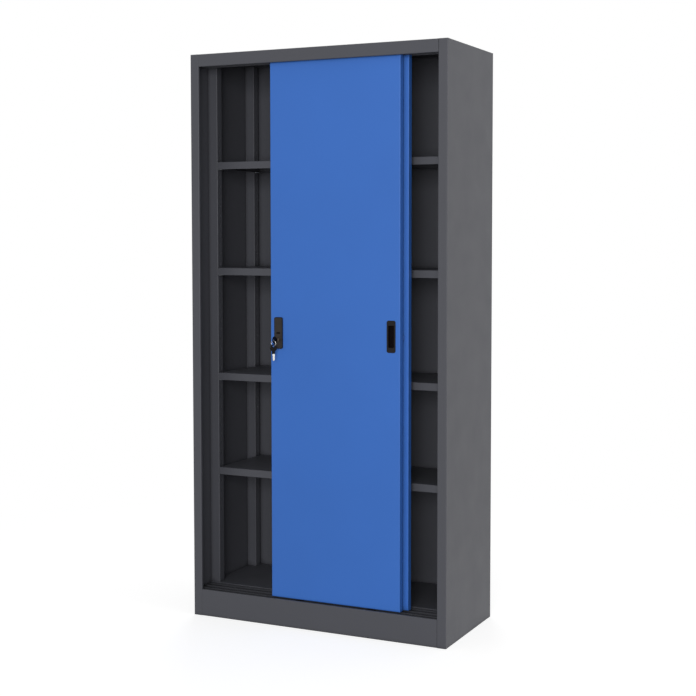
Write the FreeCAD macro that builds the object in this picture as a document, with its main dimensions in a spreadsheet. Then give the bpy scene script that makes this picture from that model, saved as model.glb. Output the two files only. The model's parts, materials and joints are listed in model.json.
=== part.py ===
"""Sliding door cabinet: a folded steel carcass, four shelves on slotted uprights and two
doors that roll on a double rail and lock together where they overlap.

Frame: +X right, +Y to the back, +Z up, millimetres. The origin lies on the floor, in the
middle of the carcass. Lengths named "from the front" are measured from the front face of
the stiles. The doors stand parked one behind the other in the middle of the cabinet.
"""
import FreeCAD, Part
import math
import os
import re
import Sketcher

os.makedirs("parts", exist_ok=True)
doc = FreeCAD.newDocument("SlidingDoorCabinet")

# ---------------------------------------------------------------- driving dimensions, mm
SIZES = {
    # carcass
    "cabinet_width": 900,
    "cabinet_depth": 400,
    "cabinet_height": 1850,
    "sheet": 1,                  # steel of the carcass, shelves and doors
    "fold": 2,                   # outside radius of a fold
    "stile_width": 30,
    "stile_return": 8,           # how far the stile's inner edge turns back
    "back_return": 20,
    "header_height": 40,
    "seam": 0.2,                 # hairline between a stile and what stands beside it
    "plinth_height": 88,
    "plinth_return": 9,
    "plinth_lip": 16,
    "top_back_flange": 20,
    "base_flange": 20,           # inward flange that the floor pan stands on
    "back_setback": 1,           # from the back of the carcass to the back sheet
    # running tracks
    "rail_height": 8,
    "rail_width": 5,
    "track_depth": 104,          # from the front to the floor pan
    "rear_rib_from_front": 84,
    "channel_drop": 36,
    # uprights and shelves
    "upright_from_front": 108,
    "upright_from_back": 12,
    "upright_width": 30,
    "upright_projection": 34,    # from the side wall to the slotted face
    "slot_pitch": 32,
    "slot_width": 3,
    "slot_length": 12,
    "slot_start": 248,           # from the floor pan to the middle of the first slot
    "shelf_from_front": 105,
    "shelf_from_back": 8,
    "shelf_edge": 24,
    "shelf_return": 12,
    "shelf_play": 2,             # between a shelf's end and the slotted face
    "first_shelf_slot": 4,       # slots counted up from the lowest
    "second_shelf_slot": 14,
    "third_shelf_slot": 25,
    "fourth_shelf_slot": 36,
    "clip_sheet": 1.5,
    "clip_ledge": 13,
    "clip_width": 18,
    "clip_hook": 3.5,
    "clip_hook_height": 8,
    "clip_hook_rise": 6,         # from the ledge to the middle of the hook
    "clip_play": 0.2,
    # doors
    "door_overlap": 36,          # of the two closed doors
    "door_thickness": 22,
    "door_lift": 2,              # from the plinth's top to a door's foot
    "door_headroom": 24,         # from a door's head to the top of the cabinet
    "door_flange": 15,
    "door_setback": 17,          # from the front to the face of the front door
    "door_gap": 7,               # between the two doors
    "door_stop": 15,             # from the outside of the carcass to a closed door's edge
    "front_door_parked": -164,   # left edge of the front door
    "rear_door_parked": -148,
    "stiffener_width": 30,
    "stiffener_foot": 12,
    "running_gap": 0.3,
    "overcut": 1,                # how far a cut runs past the material
    # rollers, brackets, shoes and guides
    "roller_radius": 9,
    "roller_width": 8,
    "roller_inset": 55,          # from a door's edge to the roller's axle
    "axle_radius": 2.5,
    "axle_play": 0.1,
    "bracket_length": 34,
    "bracket_sheet": 1.5,
    "bracket_height": 26,
    "roller_slot_play": 1,
    "shoe_inset": 100,           # from a door's edge to the middle of a guide shoe
    "shoe_length": 30,
    "shoe_drop": 6,
    "shoe_play": 0.4,            # between a shoe's leg and the rail
    "glide_wall": 1.5,
    "glide_length": 40,
    "glide_leg": 12,
    "glide_inset": 30,
    "glide_play": 0.5,
    "buffer_width": 20,
    "buffer_height": 30,
    # flush pulls
    "pull_width": 30,
    "pull_height": 100,
    "pull_centre_height": 950,
    "pull_inset": 15,
    "pull_proud": 1.5,
    "pull_corner": 4,
    "pull_recess_width": 18,
    "pull_recess_height": 66,
    "pull_recess_depth": 13,
    "pull_wall": 1.5,
    "fitting_play": 0.3,
    "fitting_edge": 1,           # bevel of a moulded fitting's front edge
    # lock
    "lock_plate_width": 30,
    "lock_plate_height": 101,
    "lock_plate_proud": 5,
    "lock_plate_corner": 5,
    "lock_inset": 14,
    "lock_drop": 21,             # from the middle of the plate down to the lock's axis
    "thumb_rest_width": 20,
    "thumb_rest_height": 34,
    "thumb_rest_depth": 1.2,
    "thumb_rest_rise": 26,
    "mark_width": 12,
    "mark_height": 3,
    "mark_depth": 2.5,
    "lock_case_width": 22,
    "lock_case_height": 56,
    "plug_radius": 7,
    "plug_play": 0.1,
    "tail_width": 6,
    "tail_play": 0.05,
    "cam_gap": 1.3,              # from the back of the front door to the cam
    "cam_sheet": 2,
    "cam_width": 12,
    "cam_reach": 24,
    "cam_heel": 8,
    "cam_play": 1,
    "cam_screw_head": 3.8,       # from the axis to a corner of the hexagon
    "cam_screw_head_height": 1.5,
    "cam_screw_radius": 1.6,
    "cam_screw_length": 8,
    "catch_sheet": 1.5,
    "catch_base": 14,
    "catch_height": 14,
    "catch_rise": 9.5,           # from the lock's axis to the bottom of the catch
    "catch_reach": 5.5,
    # keys
    "keyway_play": 0.3,
    "blade_thickness": 2,
    "blade_height": 7.4,
    "blade_length": 22,
    "blade_root": 6,             # the part of the blade held in the bow
    "blade_tip": 3,
    "bitting_pitch": 4,
    "bitting_slope": 1,
    "bitting_land": 1,
    "bitting_depth": 1.6,
    "bow_width": 23,
    "bow_length": 24,
    "bow_thickness": 3.2,
    "bow_bevel": 7,
    "neck_length": 7,
    "neck_width": 12,
    "bow_hole": 3.6,
    "bow_hole_inset": 6,
    "bow_from_plate": 6,
    "ring_radius": 8.4,
    "ring_wire": 0.8,
    "ring_slack": 1.1,           # between the ring and the hole of the key in the lock
    "spare_slack": 2.1,          # the same for the spare key, which hangs askew
    "spare_key_turn": -40,       # about the upright axis, degrees
}

sheet = doc.addObject("Spreadsheet::Sheet", "Sizes")
for row, (alias, value) in enumerate(SIZES.items(), start=1):
    sheet.set(f"A{row}", alias)
    sheet.set(f"B{row}", str(value))
    sheet.setAlias(f"B{row}", alias)
doc.recompute()

# ---------------------------------------------------------------- positions built from sizes
HALF_WIDTH = "cabinet_width/2"
INNER_SIDE = "(cabinet_width/2 - sheet)"
STILE_EDGE = "(cabinet_width/2 - stile_width)"
FRONT = "-cabinet_depth/2"
BACK_SHEET = "(cabinet_depth - back_setback - sheet)"
CLOSED_EDGE = "(cabinet_width/2 - door_stop)"
DOOR_WIDTH = f"({CLOSED_EDGE} + door_overlap/2)"
DOOR_FOOT = "(plinth_height + door_lift)"
DOOR_HEAD = "(cabinet_height - door_headroom)"
DOOR_HEIGHT = f"({DOOR_HEAD} - {DOOR_FOOT})"
FRONT_DOOR_FACE = "door_setback"
REAR_DOOR_FACE = "(door_setback + door_thickness + door_gap)"
FRONT_RAIL = "(door_setback + door_thickness/2)"
REAR_RAIL = f"({REAR_DOOR_FACE} + door_thickness/2)"
TRACK_FLOOR = "(plinth_height - rail_height)"
SLOTTED_FACE = "(cabinet_width/2 - sheet - upright_projection)"
SHELF_HALF_WIDTH = f"({SLOTTED_FACE} - shelf_play)"
SHELF_DEPTH = "(cabinet_depth - shelf_from_front - shelf_from_back)"
SHELF_TOPS = [f"(plinth_height + slot_start + {slot}*slot_pitch - clip_hook_rise + shelf_edge)"
              for slot in ("first_shelf_slot", "second_shelf_slot",
                           "third_shelf_slot", "fourth_shelf_slot")]
UPRIGHT_LENGTH = "(cabinet_height - sheet - plinth_height)"
AXLE_HEIGHT = "(plinth_height + running_gap + roller_radius)"
CHANNEL_HALF = "(door_thickness/2 + glide_wall + glide_play)"
CHANNEL_TOP = "(cabinet_height - sheet)"
PULL_MIDDLE = f"(pull_centre_height - {DOOR_FOOT})"
LOCK_MIDDLE = "(lock_inset + lock_plate_width/2)"
LOCK_HEIGHT = "(pull_centre_height - lock_drop)"
LOCK_X = f"(front_door_parked + {LOCK_MIDDLE})"
CAM_FRONT = "(door_thickness + cam_gap)"
NECK_END = "(bow_length - bow_hole_inset + neck_length)"
BOW_REACH = f"(lock_plate_proud + bow_from_plate + {NECK_END})"
RING_TOP = f"({LOCK_HEIGHT} - bow_hole + ring_wire + ring_slack)"
RING_MIDDLE = f"({RING_TOP} - ring_radius)"
RING_BOTTOM = f"({RING_MIDDLE} - ring_radius)"
SPARE_HOLE = f"({RING_BOTTOM} - bow_hole + ring_wire + spare_slack)"
CATCH_RIGHT = f"({CLOSED_EDGE}*2 - {DOOR_WIDTH} + {LOCK_MIDDLE} - cam_width/2 - cam_play)"
UPRIGHT_FRONTS = ("upright_from_front",
                  f"({BACK_SHEET} - upright_from_back - upright_width)")
PULL_CUP = ("pull_recess_width + 2*pull_wall", "pull_recess_height + 2*pull_wall")
PULL_CUP_HOLE = tuple(f"{span} + 2*fitting_play" for span in PULL_CUP)
ROLLER_PLACES = (("left", "roller_inset"), ("right", f"{DOOR_WIDTH} - roller_inset"))
PULL_LEFT = "(pull_inset + pull_width/2)"
PULL_RIGHT = f"({DOOR_WIDTH} - {PULL_LEFT})"
THROUGH_SHEET = "2*(sheet + overcut)"
NEAR = 1e-4


# ---------------------------------------------------------------- helpers
def bound(text):
    """The expression with each size written as its cell in the sheet."""
    return re.sub(r"[A-Za-z_]\w*", lambda word: "Sizes." + word.group(0)
                  if word.group(0) in SIZES else word.group(0), str(text))


def number(text):
    """The expression's present value."""
    value = sheet.evalExpression(bound(text))
    return float(getattr(value, "Value", value))


def bind(item, prop, text):
    item.setExpression(prop, bound(text))


def new_body(name):
    body = doc.addObject("PartDesign::Body", name)
    body.Label = name
    return body


def place(item, x="0", y="0", z="0", rotation=None):
    """Puts an item at a bound position; y is measured from the front."""
    if rotation is not None:
        item.Placement = FreeCAD.Placement(FreeCAD.Vector(), rotation)
    bind(item, "Placement.Base.x", x)
    bind(item, "Placement.Base.y", f"{FRONT} + {y}")
    bind(item, "Placement.Base.z", z)


def new_sketch(body, name, plane, offset="0"):
    """A sketch on one of the body's origin planes, moved along the plane's normal."""
    sketch = body.newObject("Sketcher::SketchObject", f"{body.Name}_{name}")
    origin_plane = [item for item in body.Origin.OriginFeatures if item.Role == plane][0]
    sketch.AttachmentSupport = [(origin_plane, "")]
    sketch.MapMode = "FlatFace"
    bind(sketch, "AttachmentOffset.Base.z", offset)
    return sketch


def pin_point(sketch, line, end, x, y):
    """Ties one end of a line to a bound position."""
    for kind, text in (("DistanceX", x), ("DistanceY", y)):
        index = sketch.addConstraint(Sketcher.Constraint(kind, -1, 1, line, end, number(text)))
        sketch.setExpression(f"Constraints[{index}]", bound(text))


def unit_step(start, end):
    length = math.dist(start, end)
    return ((end[0] - start[0]) / length, (end[1] - start[1]) / length)


def draw_outline(sketch, corners):
    """A closed outline. A corner is (x, y) or (x, y, radius); only a square corner
    between a level and an upright line takes a radius."""
    spots = [(number(corner[0]), number(corner[1])) for corner in corners]
    count = len(corners)
    steps = [unit_step(spots[i], spots[(i + 1) % count]) for i in range(count)]
    leaving = []
    arriving = []
    for i, corner in enumerate(corners):
        x, y = corner[0], corner[1]
        radius = corner[2] if len(corner) > 2 else None
        before, after = steps[i - 1], steps[i]
        if radius is None:
            arriving.append((x, y))
            leaving.append((x, y))
        else:
            arriving.append((f"{x} - {round(before[0])}*({radius})",
                             f"{y} - {round(before[1])}*({radius})"))
            leaving.append((f"{x} + {round(after[0])}*({radius})",
                            f"{y} + {round(after[1])}*({radius})"))
    first = sketch.GeometryCount
    for i in range(count):
        start = [number(text) for text in leaving[i]]
        end = [number(text) for text in arriving[(i + 1) % count]]
        sketch.addGeometry(Part.LineSegment(FreeCAD.Vector(*start, 0), FreeCAD.Vector(*end, 0)))
    for i, corner in enumerate(corners):
        line_in = first + (i - 1) % count
        line_out = first + i
        pin_point(sketch, line_out, 1, *leaving[i])
        if len(corner) == 2:
            sketch.addConstraint(Sketcher.Constraint("Coincident", line_in, 2, line_out, 1))
            continue
        pin_point(sketch, line_in, 2, *arriving[i])
        draw_corner(sketch, corner, steps[i - 1], steps[i], line_in, line_out)


def draw_corner(sketch, corner, before, after, line_in, line_out):
    """The arc that rounds one corner of an outline."""
    radius = number(corner[2])
    centre_x = number(corner[0]) + radius * (after[0] - before[0])
    centre_y = number(corner[1]) + radius * (after[1] - before[1])
    left_turn = before[0] * after[1] - before[1] * after[0] > 0
    side = 1 if left_turn else -1
    start = math.atan2(-before[0] * side, before[1] * side)
    end = math.atan2(-after[0] * side, after[1] * side)
    circle = Part.Circle(FreeCAD.Vector(centre_x, centre_y, 0), FreeCAD.Vector(0, 0, 1), radius)
    if left_turn:
        arc = sketch.addGeometry(Part.ArcOfCircle(circle, start, end))
        ends = (1, 2)
    else:
        arc = sketch.addGeometry(Part.ArcOfCircle(circle, end, start))
        ends = (2, 1)
    sketch.addConstraint(Sketcher.Constraint("Coincident", line_in, 2, arc, ends[0]))
    sketch.addConstraint(Sketcher.Constraint("Coincident", arc, ends[1], line_out, 1))
    index = sketch.addConstraint(Sketcher.Constraint("Radius", arc, radius))
    sketch.setExpression(f"Constraints[{index}]", bound(corner[2]))


def draw_circle(sketch, x, y, radius):
    centre = FreeCAD.Vector(number(x), number(y), 0)
    index = sketch.addGeometry(Part.Circle(centre, FreeCAD.Vector(0, 0, 1), number(radius)))
    pin_point(sketch, index, 3, x, y)
    constraint = sketch.addConstraint(Sketcher.Constraint("Radius", index, number(radius)))
    sketch.setExpression(f"Constraints[{constraint}]", bound(radius))


def rectangle(left, bottom, right, top, radius=None):
    corners = [(left, bottom), (right, bottom), (right, top), (left, top)]
    return corners if radius is None else [corner + (radius,) for corner in corners]


def bevelled_rectangle(left, bottom, right, top, bevel):
    return [(f"{left} + {bevel}", bottom), (f"{right} - {bevel}", bottom),
            (right, f"{bottom} + {bevel}"), (right, f"{top} - {bevel}"),
            (f"{right} - {bevel}", top), (f"{left} + {bevel}", top),
            (left, f"{top} - {bevel}"), (left, f"{bottom} + {bevel}")]


def centred_rectangle(x, y, width, height, radius=None):
    return rectangle(f"{x} - ({width})/2", f"{y} - ({height})/2",
                     f"{x} + ({width})/2", f"{y} + ({height})/2", radius)


def folded_outline(path, side, thickness, fold):
    """The section of a folded sheet: its path of square folds, thickened to the left
    (side 1) or right (side -1) of the way the path runs, with each fold rounded unless
    fold is None."""
    spots = [(number(x), number(y)) for x, y in path]
    steps = [unit_step(a, b) for a, b in zip(spots, spots[1:])]
    along = []
    beside = []
    for i, (x, y) in enumerate(path):
        near = steps[max(i - 1, 0):i + 1]
        shift_x = side * sum(-round(step[1]) for step in near)
        shift_y = side * sum(round(step[0]) for step in near)
        outer = (f"{x}", f"{y}")
        inner = (f"{x} + {shift_x}*{thickness}", f"{y} + {shift_y}*{thickness}")
        if len(near) == 2 and fold is not None:
            turn = near[0][0] * near[1][1] - near[0][1] * near[1][0]
            tight, wide = (f"({fold} - {thickness})", fold)
            outer += (wide,) if turn * side > 0 else (tight,)
            inner += (tight,) if turn * side > 0 else (wide,)
        along.append(outer)
        beside.append(inner)
    return along + beside[::-1]


def pad(body, sketch, length, reverse=False, symmetric=False):
    feature = body.newObject("PartDesign::Pad", f"{sketch.Name}_pad")
    feature.Profile = sketch
    feature.SideType = "Symmetric" if symmetric else "One side"
    feature.Reversed = reverse
    bind(feature, "Length", length)
    sketch.Visibility = False
    doc.recompute()
    return feature


def cut(body, sketch, length, reverse=False, symmetric=False):
    before = body.Shape.Volume
    feature = body.newObject("PartDesign::Pocket", f"{sketch.Name}_cut")
    feature.Profile = sketch
    feature.SideType = "Symmetric" if symmetric else "One side"
    feature.Reversed = reverse
    bind(feature, "Length", length)
    doc.recompute()
    if not body.Shape.Volume < before:
        raise ValueError(f"{feature.Name} removes nothing")
    return feature


def spin(body, sketch, axis):
    feature = body.newObject("PartDesign::Revolution", f"{sketch.Name}_turned")
    feature.Profile = sketch
    feature.ReferenceAxis = (sketch, [axis])
    feature.Angle = 360
    doc.recompute()
    return feature


def ease_edges(body, kind, chosen, size):
    """Fillets or chamfers those edges of the body so far that the test chooses."""
    edges = [f"Edge{i}" for i, edge in enumerate(body.Shape.Edges, start=1) if chosen(edge)]
    base = body.Tip
    feature = body.newObject(f"PartDesign::{kind}", f"{body.Name}_{kind.lower()}")
    feature.Base = (base, edges)
    bind(feature, "Radius" if kind == "Fillet" else "Size", size)
    doc.recompute()
    return feature


def lies_at(axis, value):
    """Chooses edges that lie wholly at one value of x, y or z."""
    target = number(value)
    return lambda edge: all(abs(getattr(vertex.Point, axis) - target) < NEAR
                            and abs(getattr(edge.CenterOfMass, axis) - target) < NEAR
                            for vertex in edge.Vertexes)


def folded_strip(name, path, side, length, plane, thickness="sheet", fold="fold", symmetric=False):
    """A body of one folded sheet: its section drawn on a plane and run to a length."""
    body = new_body(name)
    section = new_sketch(body, "section", plane)
    draw_outline(section, folded_outline(path, side, thickness, fold))
    pad(body, section, length, symmetric=symmetric)
    return body


def tray(name, plane, width, height, thickness, flange):
    """A pan of folded sheet with its face on the plane, its walls running back from it
    and a flange turned inward round the open side."""
    body = new_body(name)
    blank = new_sketch(body, "blank", plane)
    draw_outline(blank, rectangle("0", "0", width, height))
    pad(body, blank, thickness, reverse=True)
    face_axis = "y" if plane == "XZ_Plane" else "z"
    ease_edges(body, "Fillet", lies_at(face_axis, "0"), "fold")
    hollow = new_sketch(body, "hollow", plane, "-sheet")
    draw_outline(hollow, rectangle("sheet", "sheet", f"{width} - sheet", f"{height} - sheet"))
    cut(body, hollow, thickness)
    rim = new_sketch(body, "rim", plane, f"-({thickness})")
    draw_outline(rim, rectangle("0", "0", width, height))
    draw_outline(rim, rectangle(flange, flange, f"{width} - {flange}", f"{height} - {flange}"))
    pad(body, rim, "sheet")
    return body


def copies(name, source, spots):
    """A node of identical pieces: one body linked to each spot, as one compound."""
    links = []
    for i, (x, y, z, turn) in enumerate(spots, start=1):
        link = doc.addObject("App::Link", f"{name}_{i}")
        link.LinkedObject = source
        link.LinkTransform = False
        place(link, x, y, z, FreeCAD.Rotation(FreeCAD.Vector(0, 0, 1), turn))
        links.append(link)
    group = doc.addObject("Part::Compound", name)
    group.Label = name
    group.Links = links
    doc.recompute()
    return group


nodes = []


# ---------------------------------------------------------------- carcass
def side_panel(name, side):
    """A full-height wall with the front stile and the back return folded on it."""
    path = [(f"{side}*{STILE_EDGE}", "stile_return"),
            (f"{side}*{STILE_EDGE}", "0"),
            (f"{side}*{HALF_WIDTH}", "0"),
            (f"{side}*{HALF_WIDTH}", "cabinet_depth"),
            (f"{side}*({HALF_WIDTH} - back_return)", "cabinet_depth")]
    body = folded_strip(name, path, side, "cabinet_height", "XY_Plane")
    place(body)
    nodes.append(body)


def top_panel():
    """The top with the header folded down in front, notched behind the stiles."""
    path = [("stile_return", "cabinet_height - header_height"),
            ("0", "cabinet_height - header_height"),
            ("0", "cabinet_height"),
            (BACK_SHEET, "cabinet_height"),
            (BACK_SHEET, "cabinet_height - top_back_flange")]
    body = folded_strip("top_panel", path, -1, f"2*{INNER_SIDE}", "YZ_Plane", symmetric=True)
    for end, side in (("left", -1), ("right", 1)):
        inner_edge = f"{side}*({STILE_EDGE} - seam)"
        return_edge = f"{side}*({STILE_EDGE} + sheet)"
        outer_edge = f"{side}*{HALF_WIDTH}"
        face_notch = new_sketch(body, f"{end}_face_notch", "XY_Plane", "cabinet_height")
        draw_outline(face_notch, [(inner_edge, "0"), (outer_edge, "0"), (outer_edge, "sheet"),
                                  (return_edge, "sheet"), (return_edge, "stile_return"),
                                  (inner_edge, "stile_return")])
        cut(body, face_notch, "header_height")
        lip_notch = new_sketch(body, f"{end}_lip_notch", "XY_Plane", "cabinet_height - fold")
        draw_outline(lip_notch, rectangle(inner_edge, "0", outer_edge, "stile_return"))
        cut(body, lip_notch, "header_height")
    place(body)
    nodes.append(body)


def back_panel():
    """The back sheet, in front of the side panels' back returns."""
    body = new_body("back_panel")
    blank = new_sketch(body, "blank", "XZ_Plane")
    draw_outline(blank, rectangle(f"-{HALF_WIDTH} + fold", "0", f"{HALF_WIDTH} - fold", "cabinet_height"))
    pad(body, blank, "sheet", reverse=True)
    place(body, y=BACK_SHEET)
    nodes.append(body)


def floor_pan():
    """The cabinet floor: a deep pan whose walls stand on an inward flange."""
    depth = f"({BACK_SHEET} - track_depth)"
    body = tray("floor_pan", "XY_Plane", f"2*{INNER_SIDE}", depth, "plinth_height", "base_flange")
    place(body, f"-{INNER_SIDE}", "track_depth", "plinth_height")
    nodes.append(body)


def plinth():
    """The front skirt between the stiles, returned at the floor and lipped at the top."""
    path = [("plinth_return", "0"), ("0", "0"), ("0", "plinth_height"),
            ("plinth_return", "plinth_height"), ("plinth_return", "plinth_height - plinth_lip")]
    body = folded_strip("plinth", path, -1, f"2*({STILE_EDGE} - seam)", "YZ_Plane", symmetric=True)
    place(body)
    nodes.append(body)


def bottom_track():
    """The double rail: a sheet folded up into a rib under each door and one behind."""
    path = [("plinth_return", TRACK_FLOOR)]
    for middle in (FRONT_RAIL, REAR_RAIL, "rear_rib_from_front"):
        path += [(f"{middle} - rail_width/2", TRACK_FLOOR),
                 (f"{middle} - rail_width/2", "plinth_height"),
                 (f"{middle} + rail_width/2", "plinth_height"),
                 (f"{middle} + rail_width/2", TRACK_FLOOR)]
    path.append(("track_depth", TRACK_FLOOR))
    body = folded_strip("bottom_track", path, -1, f"2*{INNER_SIDE}", "YZ_Plane",
                        fold=None, symmetric=True)
    place(body)
    nodes.append(body)


def top_track():
    """The upper guide: two channels open downward, one for each door's glides."""
    rim = f"({CHANNEL_TOP} - channel_drop)"
    path = [(f"{FRONT_RAIL} - {CHANNEL_HALF} - sheet", rim),
            (f"{FRONT_RAIL} - {CHANNEL_HALF} - sheet", CHANNEL_TOP),
            (f"{FRONT_RAIL} + {CHANNEL_HALF} + sheet", CHANNEL_TOP),
            (f"{FRONT_RAIL} + {CHANNEL_HALF} + sheet", f"{rim} + sheet"),
            (f"{REAR_RAIL} - {CHANNEL_HALF} - sheet", f"{rim} + sheet"),
            (f"{REAR_RAIL} - {CHANNEL_HALF} - sheet", CHANNEL_TOP),
            (f"{REAR_RAIL} + {CHANNEL_HALF} + sheet", CHANNEL_TOP),
            (f"{REAR_RAIL} + {CHANNEL_HALF} + sheet", rim)]
    body = folded_strip("top_track", path, -1, f"2*{INNER_SIDE}", "YZ_Plane",
                        fold=None, symmetric=True)
    place(body)
    nodes.append(body)


def slotted_upright(name, side, front):
    """A channel against the side wall with a row of slots for the shelf clips."""
    path = [(f"{side}*{INNER_SIDE}", "0"), (f"{side}*{SLOTTED_FACE}", "0"),
            (f"{side}*{SLOTTED_FACE}", "upright_width"), (f"{side}*{INNER_SIDE}", "upright_width")]
    body = folded_strip(name, path, -side, UPRIGHT_LENGTH, "XY_Plane")
    slot = new_sketch(body, "slot", "YZ_Plane", f"{side}*{SLOTTED_FACE}")
    draw_outline(slot, centred_rectangle("upright_width/2", "slot_start", "slot_width", "slot_length"))
    first_slot = cut(body, slot, THROUGH_SHEET, symmetric=True)
    row = body.newObject("PartDesign::LinearPattern", f"{name}_slots")
    row.Originals = [first_slot]
    row.Direction = (slot, ["V_Axis"])
    slots = f"floor(({UPRIGHT_LENGTH} - 2*slot_start)/slot_pitch)"
    bind(row, "Length", f"{slots}*slot_pitch")
    bind(row, "Occurrences", f"{slots} + 1")
    body.Tip = row
    doc.recompute()
    place(body, y=front, z="plinth_height")
    nodes.append(body)


def shelf(name, top):
    body = tray(name, "XY_Plane", f"2*{SHELF_HALF_WIDTH}", SHELF_DEPTH, "shelf_edge", "shelf_return")
    place(body, f"-{SHELF_HALF_WIDTH}", "shelf_from_front", top)
    nodes.append(body)


def shelf_clips():
    """Sixteen folded clips: a ledge under the shelf, a leg and a hook in a slot."""
    path = [("clip_ledge", "-clip_sheet"), ("0", "-clip_sheet"), ("0", "shelf_edge - fold")]
    clip = folded_strip("shelf_clip", path, -1, "clip_width", "XZ_Plane",
                        thickness="clip_sheet", fold=None, symmetric=True)
    hook = new_sketch(clip, "hook", "XZ_Plane")
    draw_outline(hook, rectangle("-clip_hook", "clip_hook_rise - clip_hook_height/2",
                                 "clip_sheet", "clip_hook_rise + clip_hook_height/2"))
    pad(clip, hook, "slot_width - 2*clip_play", symmetric=True)
    spots = []
    for top in SHELF_TOPS:
        for front in UPRIGHT_FRONTS:
            middle = f"{front} + upright_width/2"
            spots.append((f"-{SLOTTED_FACE}", middle, f"{top} - shelf_edge", 0))
            spots.append((SLOTTED_FACE, middle, f"{top} - shelf_edge", 180))
    nodes.append(copies("shelf_clips", clip, spots))


def track_buffers():
    """Rubber blocks on the side walls, inside the upper channels, that stop the doors."""
    length = "door_stop - sheet - running_gap"
    block = new_body("track_buffer")
    blank = new_sketch(block, "blank", "XY_Plane")
    draw_outline(blank, rectangle("0", "-buffer_width/2", length, "buffer_width/2"))
    pad(block, blank, "buffer_height", reverse=True)
    spots = []
    for rail in (FRONT_RAIL, REAR_RAIL):
        spots.append((f"-{INNER_SIDE}", rail, f"{CHANNEL_TOP} - sheet", 0))
        spots.append((INNER_SIDE, rail, f"{CHANNEL_TOP} - sheet", 180))
    nodes.append(copies("track_buffers", block, spots))


# ---------------------------------------------------------------- doors
def door_panel(name, left, face, pull_x):
    """A door pan with the openings for its pull and its two rollers."""
    body = tray(name, "XZ_Plane", DOOR_WIDTH, DOOR_HEIGHT, "door_thickness", "door_flange")
    pull_hole = new_sketch(body, "pull_hole", "XZ_Plane")
    draw_outline(pull_hole, centred_rectangle(pull_x, PULL_MIDDLE, *PULL_CUP_HOLE))
    cut(body, pull_hole, THROUGH_SHEET, symmetric=True)
    for side, x in ROLLER_PLACES:
        slot = new_sketch(body, f"{side}_roller_slot", "XY_Plane")
        draw_outline(slot, centred_rectangle(x, "door_thickness/2",
                                             "2*(roller_radius + roller_slot_play)",
                                             "roller_width + 2*roller_slot_play"))
        cut(body, slot, THROUGH_SHEET, symmetric=True)
    place(body, left, face, DOOR_FOOT)
    nodes.append(body)
    return body


def lock_openings(body):
    """The hole in the front door's skin that the lock's case fills."""
    hole = new_sketch(body, "lock_hole", "XZ_Plane")
    draw_outline(hole, centred_rectangle(LOCK_MIDDLE, f"({LOCK_HEIGHT} - {DOOR_FOOT})",
                                         "lock_case_width + 2*fitting_play",
                                         "lock_case_height + 2*fitting_play"))
    cut(body, hole, THROUGH_SHEET, symmetric=True)


def door_stiffener(name, left, face):
    """A hat channel up the middle of a door, its feet on the back of the skin."""
    half = "stiffener_width/2"
    crown = "door_thickness - 2*sheet"
    path = [(f"-{half} - stiffener_foot", "sheet"), (f"-{half}", "sheet"), (f"-{half}", crown),
            (half, crown), (half, "sheet"), (f"{half} + stiffener_foot", "sheet")]
    body = folded_strip(name, path, 1, f"{DOOR_HEIGHT} - 2*sheet", "XY_Plane", fold=None)
    place(body, f"{left} + {DOOR_WIDTH}/2", face, f"{DOOR_FOOT} + sheet")
    nodes.append(body)


def flush_pull(name, left, face, pull_x):
    """A moulded finger pull: a frame on the skin and a cup let into the door."""
    body = new_body(name)
    frame = new_sketch(body, "frame", "XZ_Plane")
    draw_outline(frame, centred_rectangle("0", "0", "pull_width", "pull_height", "pull_corner"))
    pad(body, frame, "pull_proud")
    ease_edges(body, "Chamfer", lies_at("y", "-pull_proud"), "fitting_edge")
    cup = new_sketch(body, "cup", "XZ_Plane")
    draw_outline(cup, centred_rectangle("0", "0", *PULL_CUP))
    pad(body, cup, "pull_recess_depth + pull_wall", reverse=True)
    recess = new_sketch(body, "recess", "XZ_Plane", "pull_proud")
    draw_outline(recess, centred_rectangle("0", "0", "pull_recess_width", "pull_recess_height",
                                           "pull_corner - pull_wall"))
    cut(body, recess, "pull_proud + pull_recess_depth")
    place(body, f"{left} + {pull_x}", face, "pull_centre_height")
    nodes.append(body)


def roller(name, left, rail, x):
    """A nylon wheel that runs on the crown of the rail."""
    body = new_body(name)
    section = new_sketch(body, "section", "YZ_Plane")
    draw_outline(section, rectangle("-roller_width/2", "axle_radius + axle_play",
                                    "roller_width/2", "roller_radius"))
    spin(body, section, "H_Axis")
    place(body, f"{left} + {x}", rail, AXLE_HEIGHT)
    nodes.append(body)


def roller_bracket(doors):
    """A folded saddle over a roller, with the roller's axle riveted between its cheeks."""
    half = "(door_thickness/2 - sheet)"
    foot = f"({DOOR_FOOT} + sheet - {AXLE_HEIGHT})"
    crown = f"({foot} + bracket_height)"
    path = [(f"-{half}", foot), (f"-{half}", crown), (half, crown), (half, foot)]
    bracket = folded_strip(f"{doors}_bracket", path, -1, "bracket_length", "YZ_Plane",
                           thickness="bracket_sheet", fold=None, symmetric=True)
    axle = new_sketch(bracket, "axle", "XZ_Plane")
    draw_circle(axle, "0", "0", "axle_radius")
    pad(bracket, axle, f"2*{half} - bracket_sheet", symmetric=True)
    return bracket


def guide_shoe(doors):
    """A nylon saddle under a door that straddles the rail and keeps the door on it."""
    outer = "rail_width/2 + shoe_play + glide_wall"
    path = [(f"-({outer})", "-shoe_drop"), (f"-({outer})", "0"), (outer, "0"), (outer, "-shoe_drop")]
    return folded_strip(f"{doors}_shoe", path, -1, "shoe_length", "YZ_Plane",
                        thickness="glide_wall", fold=None, symmetric=True)


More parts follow.
